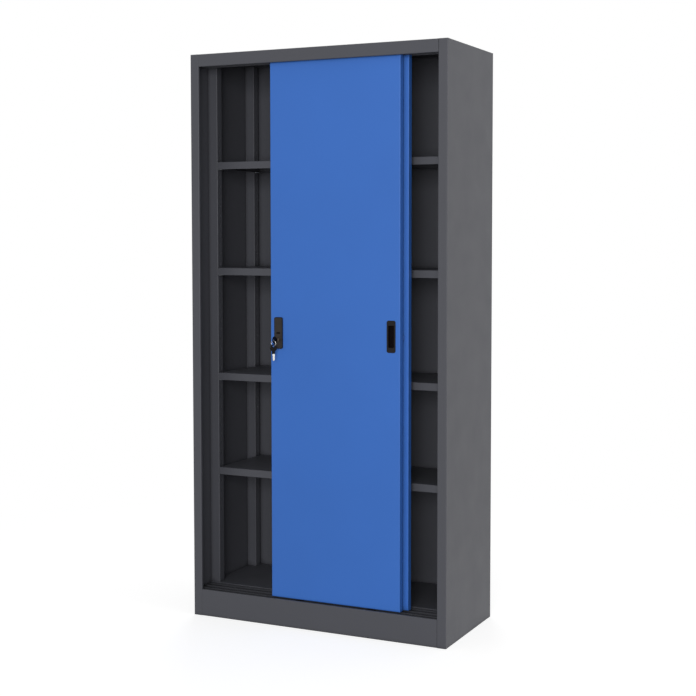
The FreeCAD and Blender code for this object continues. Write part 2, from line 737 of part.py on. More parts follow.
def top_glide(doors):
    """A nylon saddle over a door's top edge."""
    outer = "door_thickness/2 + glide_wall"
    path = [(f"-({outer})", "-glide_leg"), (f"-({outer})", "glide_wall"),
            (outer, "glide_wall"), (outer, "-glide_leg")]
    return folded_strip(f"{doors}_glide", path, -1, "glide_length", "YZ_Plane",
                        thickness="glide_wall", fold=None, symmetric=True)


def running_gear(door, left, rail):
    """The rollers, brackets and shoes at a door's foot and the glides at its head."""
    for side, x in ROLLER_PLACES:
        roller(f"{door}_{side}_roller", left, rail, x)
    at_axles = [(f"{left} + {x}", rail, AXLE_HEIGHT, 0) for side, x in ROLLER_PLACES]
    nodes.append(copies(f"{door}_roller_brackets", roller_bracket(door), at_axles))
    at_shoes = [(f"{left} + {x}", rail, DOOR_FOOT, 0)
                for x in ("shoe_inset", f"{DOOR_WIDTH} - shoe_inset")]
    nodes.append(copies(f"{door}_shoes", guide_shoe(door), at_shoes))
    inset = "(glide_inset + glide_length/2)"
    at_glides = [(f"{left} + {x}", rail, DOOR_HEAD, 0) for x in (inset, f"{DOOR_WIDTH} - {inset}")]
    nodes.append(copies(f"{door}_glides", top_glide(door), at_glides))


# ---------------------------------------------------------------- lock and keys
def lock_plate():
    """The moulded plate over the lock, with a thumb rest above the cylinder."""
    body = new_body("lock_plate")
    face = new_sketch(body, "face", "XZ_Plane")
    draw_outline(face, centred_rectangle("0", "lock_drop", "lock_plate_width",
                                         "lock_plate_height", "lock_plate_corner"))
    pad(body, face, "lock_plate_proud")
    ease_edges(body, "Chamfer", lies_at("y", "-lock_plate_proud"), "fitting_edge")
    bore = new_sketch(body, "bore", "XZ_Plane")
    draw_circle(bore, "0", "0", "plug_radius")
    cut(body, bore, "2*(lock_plate_proud + overcut)", symmetric=True)
    rest = new_sketch(body, "thumb_rest", "XZ_Plane", "lock_plate_proud")
    draw_outline(rest, centred_rectangle("0", "lock_drop + thumb_rest_rise", "thumb_rest_width",
                                         "thumb_rest_height"))
    cut(body, rest, "thumb_rest_depth")
    mark = new_sketch(body, "mark", "XZ_Plane", "lock_plate_proud")
    draw_outline(mark, centred_rectangle("0", "lock_drop", "mark_width", "mark_height"))
    cut(body, mark, "mark_depth")
    place(body, LOCK_X, FRONT_DOOR_FACE, LOCK_HEIGHT)
    nodes.append(body)


def lock_case():
    """The die-cast case behind the plate, as deep as the door, that the plug turns in."""
    body = new_body("lock_case")
    case = new_sketch(body, "case", "XZ_Plane")
    draw_outline(case, centred_rectangle("0", "0", "lock_case_width", "lock_case_height"))
    pad(body, case, "door_thickness", reverse=True)
    bore = new_sketch(body, "bore", "XZ_Plane")
    draw_circle(bore, "0", "0", "plug_radius")
    cut(body, bore, "2*(door_thickness + overcut)", symmetric=True)
    place(body, LOCK_X, FRONT_DOOR_FACE, LOCK_HEIGHT)
    nodes.append(body)


def lock_plug():
    """The turning plug with its keyway and the square tail that drives the cam."""
    body = new_body("lock_plug")
    barrel = new_sketch(body, "barrel", "XZ_Plane", "lock_plate_proud")
    draw_circle(barrel, "0", "0", "plug_radius - plug_play")
    pad(body, barrel, f"lock_plate_proud + {CAM_FRONT}", reverse=True)
    tail = new_sketch(body, "tail", "XZ_Plane")
    draw_outline(tail, centred_rectangle("0", "0", "tail_width", "tail_width"))
    pad(body, tail, f"{CAM_FRONT} + cam_sheet", reverse=True)
    keyway = new_sketch(body, "keyway", "XZ_Plane", "lock_plate_proud")
    draw_outline(keyway, centred_rectangle("0", "0", "blade_thickness + 2*keyway_play",
                                           "blade_height + 2*keyway_play"))
    cut(body, keyway, "blade_length - bow_from_plate + 2*keyway_play")
    thread = new_sketch(body, "thread", "XZ_Plane", f"-({CAM_FRONT} + cam_sheet)")
    draw_circle(thread, "0", "0", "cam_screw_radius")
    cut(body, thread, "cam_screw_length", reverse=True)
    place(body, LOCK_X, FRONT_DOOR_FACE, LOCK_HEIGHT)
    nodes.append(body)


def lock_cam():
    """The tongue that swings up behind the rear door's catch."""
    body = new_body("lock_cam")
    blade = new_sketch(body, "blade", "XZ_Plane", f"-{CAM_FRONT}")
    draw_outline(blade, rectangle("-cam_heel", "-cam_width/2", "cam_reach", "cam_width/2",
                                  "cam_width/2 - sheet"))
    pad(body, blade, "cam_sheet", reverse=True)
    hole = new_sketch(body, "tail_hole", "XZ_Plane", f"-{CAM_FRONT}")
    draw_outline(hole, centred_rectangle("0", "0", "tail_width + 2*tail_play",
                                         "tail_width + 2*tail_play"))
    cut(body, hole, "2*(cam_sheet + overcut)", symmetric=True)
    place(body, LOCK_X, FRONT_DOOR_FACE, LOCK_HEIGHT)
    nodes.append(body)


def cam_screw():
    """The hexagon-head screw that holds the cam on the plug's tail."""
    body = new_body("cam_screw")
    head = new_sketch(body, "head", "XZ_Plane")
    draw_outline(head, [(f"cam_screw_head*cos({angle})", f"cam_screw_head*sin({angle})")
                        for angle in range(0, 360, 60)])
    pad(body, head, "cam_screw_head_height", reverse=True)
    shank = new_sketch(body, "shank", "XZ_Plane")
    draw_circle(shank, "0", "0", "cam_screw_radius - tail_play")
    pad(body, shank, "cam_screw_length - overcut")
    place(body, LOCK_X, f"{FRONT_DOOR_FACE} + {CAM_FRONT} + cam_sheet", LOCK_HEIGHT)
    nodes.append(body)


def lock_catch():
    """The angle on the rear door's face that the raised cam bears against."""
    path = [("-catch_base", "0"), ("0", "0"), ("0", "-catch_reach")]
    body = folded_strip("lock_catch", path, -1, "catch_height", "XY_Plane",
                        thickness="catch_sheet")
    place(body, f"rear_door_parked + {CATCH_RIGHT}", REAR_DOOR_FACE, f"{LOCK_HEIGHT} + catch_rise")
    nodes.append(body)


def blade_outline():
    """The cut edge of a key: a row of notches and a pointed tip, from its root on."""
    root = f"{NECK_END} - blade_root"
    tip = f"{NECK_END} + blade_length"
    corners = [(root, "-blade_height/2")]
    notches = int(number("(blade_length - blade_tip - neck_length)/bitting_pitch"))
    for i in range(notches):
        start = f"{tip} - blade_tip - {notches - i}*bitting_pitch"
        corners += [(start, "-blade_height/2"),
                    (f"{start} + bitting_slope", "-blade_height/2 + bitting_depth"),
                    (f"{start} + bitting_slope + bitting_land", "-blade_height/2 + bitting_depth")]
    return corners + [(f"{tip} - blade_tip", "-blade_height/2"), (tip, "0"),
                      (f"{tip} - blade_tip", "blade_height/2"), (root, "blade_height/2")]


def key_blade(name):
    body = new_body(name)
    profile = new_sketch(body, "profile", "YZ_Plane")
    draw_outline(profile, blade_outline())
    pad(body, profile, "blade_thickness", symmetric=True)
    nodes.append(body)
    return body


def key_bow(name):
    """The moulded head of a key round the root of its blade, holed for the ring."""
    body = new_body(name)
    head = new_sketch(body, "head", "YZ_Plane")
    draw_outline(head, bevelled_rectangle("-bow_hole_inset", "-bow_width/2",
                                          "bow_length - bow_hole_inset", "bow_width/2", "bow_bevel"))
    draw_circle(head, "0", "0", "bow_hole")
    pad(body, head, "bow_thickness", symmetric=True)
    neck = new_sketch(body, "neck", "YZ_Plane")
    draw_outline(neck, rectangle("bow_length/2", "-neck_width/2", NECK_END, "neck_width/2"))
    pad(body, neck, "bow_thickness", symmetric=True)
    root = new_sketch(body, "blade_seat", "YZ_Plane")
    draw_outline(root, rectangle(f"{NECK_END} - blade_root", "-blade_height/2",
                                 f"{NECK_END} + overcut", "blade_height/2"))
    cut(body, root, "blade_thickness", symmetric=True)
    nodes.append(body)
    return body


def key_ring():
    """The split ring of square wire that joins the two keys."""
    body = new_body("key_ring")
    hoop = new_sketch(body, "hoop", "XZ_Plane")
    draw_circle(hoop, "0", "0", "ring_radius + ring_wire")
    draw_circle(hoop, "0", "0", "ring_radius - ring_wire")
    pad(body, hoop, "2*ring_wire", symmetric=True)
    nodes.append(body)
    return body


def keys():
    """The key in the lock and the spare that hangs from its ring."""
    for body in (key_blade("key_blade"), key_bow("key_bow")):
        place(body, LOCK_X, f"{FRONT_DOOR_FACE} - {BOW_REACH}", LOCK_HEIGHT)
    hanging = FreeCAD.Rotation(FreeCAD.Vector(0, 0, 1), number("spare_key_turn")).multiply(
        FreeCAD.Rotation(FreeCAD.Vector(1, 0, 0), -90))
    for body in (key_blade("spare_key_blade"), key_bow("spare_key_bow")):
        place(body, LOCK_X, f"{FRONT_DOOR_FACE} - {BOW_REACH}", SPARE_HOLE, hanging)
    place(key_ring(), LOCK_X, f"{FRONT_DOOR_FACE} - {BOW_REACH}", RING_MIDDLE)


# ---------------------------------------------------------------- assembly
side_panel("left_side", -1)
side_panel("right_side", 1)
top_panel()
back_panel()
floor_pan()
plinth()
bottom_track()
top_track()
for depth_name, front in zip(("front", "rear"), UPRIGHT_FRONTS):
    slotted_upright(f"upright_{depth_name}_left", -1, front)
    slotted_upright(f"upright_{depth_name}_right", 1, front)
for level, top in enumerate(SHELF_TOPS, start=1):
    shelf(f"shelf_{level}", top)
shelf_clips()
track_buffers()

lock_openings(door_panel("front_door_panel", "front_door_parked", FRONT_DOOR_FACE, PULL_RIGHT))
door_stiffener("front_door_stiffener", "front_door_parked", FRONT_DOOR_FACE)
flush_pull("front_door_pull", "front_door_parked", FRONT_DOOR_FACE, PULL_RIGHT)
running_gear("front_door", "front_door_parked", FRONT_RAIL)
lock_plate()
lock_case()
lock_plug()
lock_cam()
cam_screw()
keys()

door_panel("rear_door_panel", "rear_door_parked", REAR_DOOR_FACE, PULL_LEFT)
door_stiffener("rear_door_stiffener", "rear_door_parked", REAR_DOOR_FACE)
flush_pull("rear_door_pull", "rear_door_parked", REAR_DOOR_FACE, PULL_LEFT)
running_gear("rear_door", "rear_door_parked", REAR_RAIL)
lock_catch()

# ---------------------------------------------------------------- check and export
doc.recompute()
for item in doc.Objects:
    if any(word in item.State for word in ("Invalid", "Error")):
        raise RuntimeError(f"{item.Name} failed: {item.State}")
for node in nodes:
    if node.Shape.isNull() or not node.Shape.isValid():
        raise RuntimeError(f"{node.Label} has no valid shape")
for node in nodes:
    node.Shape.exportStep(f"parts/{node.Label}.step")
print(len(nodes), "sub-parts,", sum(len(node.Shape.Solids) for node in nodes), "solids")
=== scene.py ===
import bmesh
import bpy
import json
import math
from bpy.props import FloatProperty, FloatVectorProperty, IntProperty, PointerProperty
from mathutils import Matrix, Vector


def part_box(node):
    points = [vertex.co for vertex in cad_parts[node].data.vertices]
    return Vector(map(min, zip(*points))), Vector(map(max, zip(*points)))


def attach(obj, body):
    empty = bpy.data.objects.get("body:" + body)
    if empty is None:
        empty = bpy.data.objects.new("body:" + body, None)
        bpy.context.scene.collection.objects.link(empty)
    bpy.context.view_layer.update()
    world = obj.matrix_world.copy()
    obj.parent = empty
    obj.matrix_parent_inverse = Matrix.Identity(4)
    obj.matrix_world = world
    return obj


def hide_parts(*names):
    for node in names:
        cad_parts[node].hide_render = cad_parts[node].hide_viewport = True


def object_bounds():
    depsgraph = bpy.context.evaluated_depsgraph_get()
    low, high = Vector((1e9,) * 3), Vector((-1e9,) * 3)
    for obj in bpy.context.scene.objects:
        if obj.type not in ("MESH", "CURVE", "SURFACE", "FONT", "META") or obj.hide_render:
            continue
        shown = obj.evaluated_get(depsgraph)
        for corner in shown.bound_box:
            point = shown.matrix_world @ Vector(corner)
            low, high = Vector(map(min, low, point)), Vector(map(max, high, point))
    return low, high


bl_info = {
    "name": "Sliding door cabinet",
    "version": (1, 0, 0),
    "blender": (4, 5, 0),
    "location": "3D Viewport > Sidebar > Cabinet",
    "description": "Finishes and fittings of a powder-coated steel cabinet with two sliding doors",
    "category": "Object",
}

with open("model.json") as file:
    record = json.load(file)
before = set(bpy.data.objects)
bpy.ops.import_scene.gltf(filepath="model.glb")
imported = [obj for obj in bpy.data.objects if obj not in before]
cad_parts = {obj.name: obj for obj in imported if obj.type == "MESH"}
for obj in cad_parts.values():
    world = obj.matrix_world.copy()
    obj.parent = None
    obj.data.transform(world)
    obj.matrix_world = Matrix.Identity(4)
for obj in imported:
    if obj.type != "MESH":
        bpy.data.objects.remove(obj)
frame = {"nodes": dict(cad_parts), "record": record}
CAD_LOW, CAD_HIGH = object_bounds()
MM = 0.001
WHITE = (1, 1, 1, 1)
DOORS = ("front", "rear")
STANDING = Matrix.Rotation(math.pi / 2, 4, "X")     # drawing plane turned to face the front

NOISE_PER_METRE = 1000           # divided by a grain in millimetres, this is a noise scale
NOISE_LOW, NOISE_HIGH = 0.3, 0.7     # most of a noise lies between these levels
# a Mix node's sockets for colours, which have the same names as its other sockets
FACTOR, FIRST, SECOND, BLEND = 0, 6, 7, 2
IOR_POLYESTER, IOR_MOULDED, IOR_EPDM = 1.5, 1.53, 1.52

CARCASS_NODES = frame["record"]["behaviour"]["bodies"]["carcass"]
# finishes of the carcass's nodes that don't have its plain coat
OTHER_FINISHES = {"shelf_clips": "zinc_steel", "track_buffers": "rubber",
                  "bottom_track": "track_paint", "top_track": "track_paint"}
# finishes of a door's nodes, by the ends of their names
DOOR_FINISHES = {"panel": "blue_paint", "stiffener": "blue_paint",
                 "roller_brackets": "zinc_steel", "glides": "nylon", "shoes": "black_plastic",
                 "left_roller": "nylon", "right_roller": "nylon"}


# ------------------------------------------------------------------------- colours and nodes
def linear(hex_colour):
    """An sRGB hex colour as linear red, green and blue."""
    channels = [int(hex_colour[i:i + 2], 16) / 255 for i in (1, 3, 5)]
    return tuple(c / 12.92 if c <= 0.04045 else ((c + 0.055) / 1.055) ** 2.4 for c in channels)


def rgba(colour):
    return (*colour, 1)


def shade(colour, factor, lift=0.0):
    """A colour made lighter or darker, and then greyer by a lift."""
    return tuple(min(1, c * factor + lift) for c in colour)


def set_inputs(tree, node, inputs):
    """Gives a node's inputs their values and links."""
    for key, value in inputs.items():
        if isinstance(value, bpy.types.NodeSocket):
            tree.links.new(value, node.inputs[key])
        else:
            node.inputs[key].default_value = value


def add_node(tree, kind, inputs, **settings):
    """Adds a shader node, with its settings, input values and links."""
    node = tree.nodes.new("ShaderNode" + kind)
    for name, value in settings.items():
        setattr(node, name, value)
    set_inputs(tree, node, inputs)
    return node


def empty_tree(holder):
    """The cleared node tree of a material or a world."""
    holder.use_nodes = True
    holder.node_tree.nodes.clear()
    return holder.node_tree


def new_material(name):
    """An empty material: its tree, and a point in the object's own frame."""
    material = bpy.data.materials.new(name)
    tree = empty_tree(material)
    return material, tree, add_node(tree, "TexCoord", {}).outputs["Object"]


def end_in_shader(tree, inputs):
    """Ends a material's tree in its shader."""
    shader = add_node(tree, "BsdfPrincipled", inputs)
    add_node(tree, "OutputMaterial", {"Surface": shader.outputs["BSDF"]})


# ------------------------------------------------------------------------- patterns
def mottled(tree, place, low, high, grain_mm, detail=2, breakup=0.5):
    """A value that drifts between two levels, in patches of about that many millimetres."""
    patches = add_node(tree, "TexNoise", {"Vector": place, "Scale": NOISE_PER_METRE / grain_mm,
                                          "Detail": detail, "Roughness": breakup})
    return add_node(tree, "MapRange", {"Value": patches.outputs["Fac"],
                                       "From Min": NOISE_LOW, "From Max": NOISE_HIGH,
                                       "To Min": low, "To Max": high}).outputs["Result"]


def cloudy(tree, place, first, second, grain_mm, detail=2):
    """A colour that drifts between two tones, in patches of about that many millimetres."""
    patches = mottled(tree, place, 0, 1, grain_mm, detail)
    return add_node(tree, "Mix", {FACTOR: patches, FIRST: rgba(first), SECOND: rgba(second)},
                    data_type="RGBA").outputs[BLEND]


def grained(tree, place, grain_mm, depth_mm, strength, detail=2, breakup=0.5, under=None):
    """A normal with a relief of that grain and depth, on top of the normal under it."""
    relief = add_node(tree, "TexNoise", {"Vector": place, "Scale": NOISE_PER_METRE / grain_mm,
                                         "Detail": detail, "Roughness": breakup})
    bump = add_node(tree, "Bump", {"Height": relief.outputs["Fac"], "Distance": depth_mm * MM,
                                   "Strength": strength})
    if under is not None:
        set_inputs(tree, bump, {"Normal": under})
    return bump.outputs["Normal"]


def rounded_edges(tree, radius_mm):
    """The normal with edges rounded, and a mask that is 1 on an edge and 0 on the flat."""
    leaning, level = 0.75, 0.995     # cosines between the rounded normal and the flat one
    rounded = add_node(tree, "Bevel", {"Radius": radius_mm * MM}, samples=6).outputs["Normal"]
    flat = add_node(tree, "NewGeometry", {}).outputs["Normal"]
    facing = add_node(tree, "VectorMath", {0: rounded, 1: flat}, operation="DOT_PRODUCT")
    edge = add_node(tree, "MapRange", {"Value": facing.outputs["Value"],
                                       "From Min": leaning, "From Max": level,
                                       "To Min": 1, "To Max": 0})
    return rounded, edge.outputs["Result"]


def worn_and_highlit_edges(tree, base, edge, share, worn):
    """A colour that gives way to a paler one along the edges, by that share: partly
    the coat's own wear and thinning, partly a painted highlight.
    """
    amount = add_node(tree, "Math", {0: edge, 1: share}, operation="MULTIPLY").outputs["Value"]
    return add_node(tree, "Mix", {FACTOR: amount, FIRST: base, SECOND: rgba(worn)},
                    data_type="RGBA").outputs[BLEND]


def painted_groove_shade(tree, base, shade_tone, reach_mm, limits):
    """A colour darkened deep in a groove or gap, where ambient occlusion finds it: painted shade.
    """
    deepest = 0.85                   # how much of the darker colour shows where no air reaches
    open_air = add_node(tree, "AmbientOcclusion", {"Distance": reach_mm * MM}, samples=8)
    deep = add_node(tree, "MapRange", {"Value": open_air.outputs["AO"],
                                       "From Min": limits[0], "From Max": limits[1],
                                       "To Min": deepest, "To Max": 0})
    return add_node(tree, "Mix", {FACTOR: deep.outputs["Result"], FIRST: base,
                                  SECOND: rgba(shade_tone)}, data_type="RGBA").outputs[BLEND]


def weld_marks(tree, place):
    """Spot welds down the back returns: dimples 7 mm across, one every 150 mm."""
    from_middle, pitch = 0.44, 0.15
    bottom, rim = 2.2 * MM, 3.5 * MM
    back_face = CAD_HIGH.y - 0.5 * MM
    axes = add_node(tree, "SeparateXYZ", {"Vector": place}).outputs
    aside = add_node(tree, "Math", {0: axes["X"]}, operation="ABSOLUTE").outputs["Value"]
    across = add_node(tree, "Math", {0: aside, 1: from_middle}, operation="SUBTRACT")
    along = add_node(tree, "Math", {0: axes["Z"], 1: pitch / 2}, operation="PINGPONG")
    spot = add_node(tree, "CombineXYZ", {"X": across.outputs["Value"],
                                         "Y": along.outputs["Value"]}).outputs["Vector"]
    distance = add_node(tree, "VectorMath", {0: spot}, operation="LENGTH").outputs["Value"]
    level = add_node(tree, "MapRange", {"Value": distance, "From Min": bottom, "From Max": rim,
                                        "To Min": 0, "To Max": 1}).outputs["Result"]
    behind = add_node(tree, "Math", {0: axes["Y"], 1: back_face}, operation="GREATER_THAN")
    return add_node(tree, "Math", {0: behind.outputs["Value"], 1: level},
                    operation="MULTIPLY").outputs["Value"]


def background_seen(tree):
    """1 where the pale background shows: to the camera, in a gloss and through a clear body."""
    ray = add_node(tree, "LightPath", {}).outputs
    beyond = add_node(tree, "Math", {0: ray["Is Glossy Ray"], 1: ray["Is Transmission Ray"]},
                      operation="MAXIMUM").outputs["Value"]
    return add_node(tree, "Math", {0: ray["Is Camera Ray"], 1: beyond},
                    operation="MAXIMUM").outputs["Value"]


# ------------------------------------------------------------------------- materials
def powder_coat(name, colour, edge_lift, roughness, welds=False, groove_shade_limits=(0.15, 0.75),
                fold_mm=1.2):
    """Fine-textured polyester powder coat baked on sheet steel: an even satin colour with a
    faint orange peel, slightly cloudy, paler along an edge, partly where the coat pulls thin
    and partly as a painted highlight, and darker deep in a groove or gap as painted shade."""
    material, tree, place = new_material(name)
    base = cloudy(tree, place, shade(colour, 0.975), shade(colour, 1.025), grain_mm=320)
    normal, edge = rounded_edges(tree, fold_mm)
    # paler edges: partly a thinner coat, partly a painted highlight
    base = worn_and_highlit_edges(tree, base, edge, edge_lift, shade(colour, 1.3, lift=0.05))
    # painted shade deep in grooves and gaps
    base = painted_groove_shade(tree, base, shade(colour, 0.12), reach_mm=26, limits=groove_shade_limits)
    if welds:
        normal = add_node(tree, "Bump", {"Height": weld_marks(tree, place), "Distance": 0.3 * MM,
                                         "Strength": 0.8, "Normal": normal}).outputs["Normal"]
    end_in_shader(tree, {
        "Base Color": base,
        "Roughness": mottled(tree, place, roughness - 0.02, roughness + 0.03, grain_mm=90),
        # the texture's real grain is about 0.5 mm; drawn at 1.8 mm so that it can be seen
        "Normal": grained(tree, place, grain_mm=1.8, depth_mm=0.3, strength=0.5, detail=3,
                          breakup=0.6, under=normal),
        "IOR": IOR_POLYESTER,
        "Specular IOR Level": 0.3,
    })
    return material


def moulded_abs(name, colour, roughness=0.5, rub=0.3, sheen=0.15):
    """ABS, injection moulded with a spark-eroded matt face: broad soft highlights, a sheen
    that the deeper pits take away, and edges paler, partly rubbed and partly a painted highlight."""
    material, tree, place = new_material(name)
    base = cloudy(tree, place, shade(colour, 0.9), shade(colour, 1.12), grain_mm=14)
    normal, edge = rounded_edges(tree, 0.6)
    # paler edges: partly rubbed, partly a painted highlight
    base = worn_and_highlit_edges(tree, base, edge, rub, shade(colour, 1.5, lift=0.015))
    end_in_shader(tree, {
        "Base Color": base,
        "Roughness": mottled(tree, place, roughness - 0.07, roughness + 0.07, grain_mm=8),
        # spark erosion leaves pits of about 0.1 mm; drawn at 0.5 mm
        "Normal": grained(tree, place, grain_mm=0.5, depth_mm=0.03, strength=0.5, under=normal),
        "IOR": IOR_MOULDED,
        "Specular IOR Level": sheen,
    })
    return material


def nickel_plate(name, colour, roughness=0.24):
    """Nickel plate on tumbled brass: bright, with fine scratches that run across it."""
    material, tree, place = new_material(name)
    drawn_out = add_node(tree, "Mapping", {"Vector": place, "Scale": (1, 1, 9)})
    scratch = add_node(tree, "TexNoise", {"Vector": drawn_out.outputs["Vector"],
                                          "Scale": NOISE_PER_METRE / 0.9,
                                          "Detail": 4, "Roughness": 0.7}).outputs["Fac"]
    dull = add_node(tree, "MapRange", {"Value": scratch,
                                       "From Min": NOISE_LOW, "From Max": NOISE_HIGH,
                                       "To Min": roughness - 0.05, "To Max": roughness + 0.07})
    cut = add_node(tree, "Bump", {"Height": scratch, "Distance": 0.004 * MM, "Strength": 0.3})
    end_in_shader(tree, {
        "Base Color": cloudy(tree, place, shade(colour, 0.93), colour, grain_mm=9),
        "Roughness": dull.outputs["Result"],
        "Normal": cut.outputs["Normal"],
        "Metallic": 1,
    })
    return material


def zinc_plate(name, colour):
    """Zinc-plated pressed steel, blue passivated: greyer and duller than nickel, with
    faint straw and blue clouds and a fine crystal grain."""
    material, tree, place = new_material(name)
    red, green, blue = colour
    straw_cloud = (red * 1.05, green, blue * 0.86)
    blue_cloud = (red * 0.92, green * 0.98, blue * 1.05)
    crystal = add_node(tree, "TexVoronoi", {"Vector": place, "Scale": NOISE_PER_METRE / 1.6})
    dull = add_node(tree, "MapRange", {"Value": crystal.outputs["Distance"],
                                       "From Min": 0, "From Max": 0.8,
                                       "To Min": 0.34, "To Max": 0.52})
    end_in_shader(tree, {
        "Base Color": cloudy(tree, place, straw_cloud, blue_cloud, grain_mm=18, detail=3),
        "Roughness": dull.outputs["Result"],
        "Normal": grained(tree, place, grain_mm=0.8, depth_mm=0.015, strength=0.4, detail=3),
        "Metallic": 1,
    })
    return material


def natural_nylon(name, colour):
    """Natural polyamide, injection moulded: milky, waxy and slightly yellow."""
    material, tree, place = new_material(name)
    end_in_shader(tree, {
        "Base Color": cloudy(tree, place, shade(colour, 0.93), colour, grain_mm=6),
        "Roughness": mottled(tree, place, 0.38, 0.5, grain_mm=3),
        "Normal": grained(tree, place, grain_mm=0.7, depth_mm=0.02, strength=0.3),
        "IOR": IOR_MOULDED,
        "Subsurface Weight": 0.15,
        "Subsurface Scale": 2 * MM,
    })
    return material


def moulded_rubber(name, colour):
    """Black EPDM, compression moulded: matt, with a bloom of grey dust."""
    material, tree, place = new_material(name)
    dusty = shade(colour, 1.7, lift=0.008)
    end_in_shader(tree, {
        "Base Color": cloudy(tree, place, colour, dusty, grain_mm=5, detail=3),
        "Roughness": 0.82,
        "Normal": grained(tree, place, grain_mm=0.6, depth_mm=0.05, strength=0.5, detail=3),
        "IOR": IOR_EPDM,
    })
    return material


# each finish: how it is made, its material's name, its colour setting, and what sets it apart
FINISHES = {
    "anthracite_paint": (powder_coat, "powder_coat_anthracite", "carcass",
                         {"edge_lift": 0.1, "roughness": 0.46, "welds": True}),
    # inside the tracks the grooves take stronger painted shade, and the edges are paler, partly a
    # thinner coat and partly a painted highlight
    "track_paint": (powder_coat, "powder_coat_anthracite_worn_in", "carcass",
                    {"edge_lift": 0.35, "roughness": 0.5, "groove_shade_limits": (0.35, 0.97)}),
    "blue_paint": (powder_coat, "powder_coat_blue", "doors",
                   {"edge_lift": 0.9, "roughness": 0.42, "fold_mm": 2.2}),
    "black_plastic": (moulded_abs, "abs_black_matt", "plastic", {}),
    "plate_face": (moulded_abs, "abs_brown_black_matt", "plate_face",
                   {"roughness": 0.55, "rub": 0.1, "sheen": 0.2}),
    # the cup of a pull, and the dark sheet of painted shade behind the plate's slot
    "dark_recess": (moulded_abs, "abs_black_rough", "recess",
                       {"roughness": 0.85, "rub": 0.1, "sheen": 0.08}),
    "gloss_plastic": (moulded_abs, "abs_black_gloss", "key_bow",
                      {"roughness": 0.22, "rub": 0.15, "sheen": 0.1}),
    "nickel_steel": (nickel_plate, "nickel_plated_brass", "nickel", {}),
    # black nickel, made darker still as painted shade from the key in the lock
    "dark_nickel": (nickel_plate, "black_nickel_plated_brass", "plug", {"roughness": 0.32}),
    "zinc_steel": (zinc_plate, "zinc_plated_steel", "zinc", {}),
    "nylon": (natural_nylon, "polyamide_natural", "nylon", {}),
    "rubber": (moulded_rubber, "epdm_rubber_black", "rubber", {}),
}
MATERIALS = {}


def finish_of(context, kind):
    """A finish's material, made once."""
    if kind not in MATERIALS:
        make, name, colour, traits = FINISHES[kind]
        MATERIALS[kind] = make(name, getattr(context.scene.cabinet_finish, colour), **traits)
    return MATERIALS[kind]


def paint_node(context, node, kind):
    """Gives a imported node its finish."""
    item = frame["nodes"][node]
    if not item.material_slots:
        item.data.materials.append(None)
    for holder in item.material_slots:
        holder.material = finish_of(context, kind)


# ------------------------------------------------------------------------- drawing pieces
CORNER_STEPS = 6                 # from point to point round a quarter of a drawn corner
CIRCLE_STEPS = 40
ROUNDING_STEPS = 3               # facets of a rounded edge or wire, beyond the plain ones
BOX_CORNERS = ((-1, -1), (1, -1), (1, 1), (-1, 1))


def rounded_box(width, height, corner):
    """A closed outline of a rectangle with round corners."""
    points = []
    for quarter, (side_x, side_y) in enumerate(((1, 1), (-1, 1), (-1, -1), (1, -1))):
        centre = (side_x * (width / 2 - corner), side_y * (height / 2 - corner))
        for step in range(CORNER_STEPS + 1):
            angle = (quarter + step / CORNER_STEPS) * math.pi / 2
            points.append((centre[0] + corner * math.cos(angle),
                           centre[1] + corner * math.sin(angle)))
    return points


def circle(radius, height=0.0):
    """A closed outline of a circle, with its middle at that height."""
    angles = [2 * math.pi * i / CIRCLE_STEPS for i in range(CIRCLE_STEPS)]
    return [(radius * math.cos(angle), height + radius * math.sin(angle)) for angle in angles]


def add_piece(name, data, placement):
    """An object of that curve or mesh, in its place in the scene."""
    piece = bpy.data.objects.new(name, data)
    bpy.context.scene.collection.objects.link(piece)
    piece.matrix_world = placement
    return piece


def add_line(curve, points, closed):
    """Runs straight lines from point to point of a curve."""
    spline = curve.splines.new("POLY")
    spline.points.add(len(points) - 1)
    for point, place in zip(spline.points, points):
        point.co = (*place, 1)
    spline.use_cyclic_u = closed


def flat_piece(name, outlines, thickness, edge, placement):
    """A plate with holes, drawn as filled outlines and given thickness and round edges.
    The outlines are shrunk by the edge, so that the plate keeps its size."""
    curve = bpy.data.curves.new(name, "CURVE")
    curve.dimensions = "2D"
    curve.fill_mode = "BOTH"
    for outline in outlines:
        add_line(curve, [(x, y, 0) for x, y in outline], closed=True)
    curve.extrude = thickness / 2 - edge
    curve.bevel_depth = edge
    curve.bevel_resolution = ROUNDING_STEPS
    curve.offset = -edge
    return add_piece(name, curve, placement)


def wire_piece(name, points, radius, placement):
    """A round wire run through points."""
    curve = bpy.data.curves.new(name, "CURVE")
    curve.dimensions = "3D"
    add_line(curve, points, closed=False)
    curve.bevel_depth = radius
    curve.bevel_resolution = ROUNDING_STEPS
    curve.use_fill_caps = True
    return add_piece(name, curve, placement)


def mesh_piece(name, shape, placement):
    """An object of a finished shape, which is used up."""
    mesh = bpy.data.meshes.new(name)
    bmesh.ops.recalc_face_normals(shape, faces=shape.faces)
    shape.to_mesh(mesh)
    shape.free()
    return add_piece(name, mesh, placement)


def finish_piece(context, piece, kind, body, nodes=()):
    """Gives a piece its finish and body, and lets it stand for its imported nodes."""
    piece.data.materials.append(finish_of(context, kind))
    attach(piece, body)
    if nodes:
        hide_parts(*nodes)


def front_centre(node):
    """The middle of a node's front face, as X, Y and Z."""
    low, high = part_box(node)
    return Vector(((low.x + high.x) / 2, low.y, (low.z + high.z) / 2))


# ------------------------------------------------------------------------- settings
def finish_colour(name, description, hex_colour):
    """A colour setting, given as sRGB hex and kept linear."""
    return FloatVectorProperty(name=name, description=description, default=linear(hex_colour),
                               subtype="COLOR", min=0, max=1)


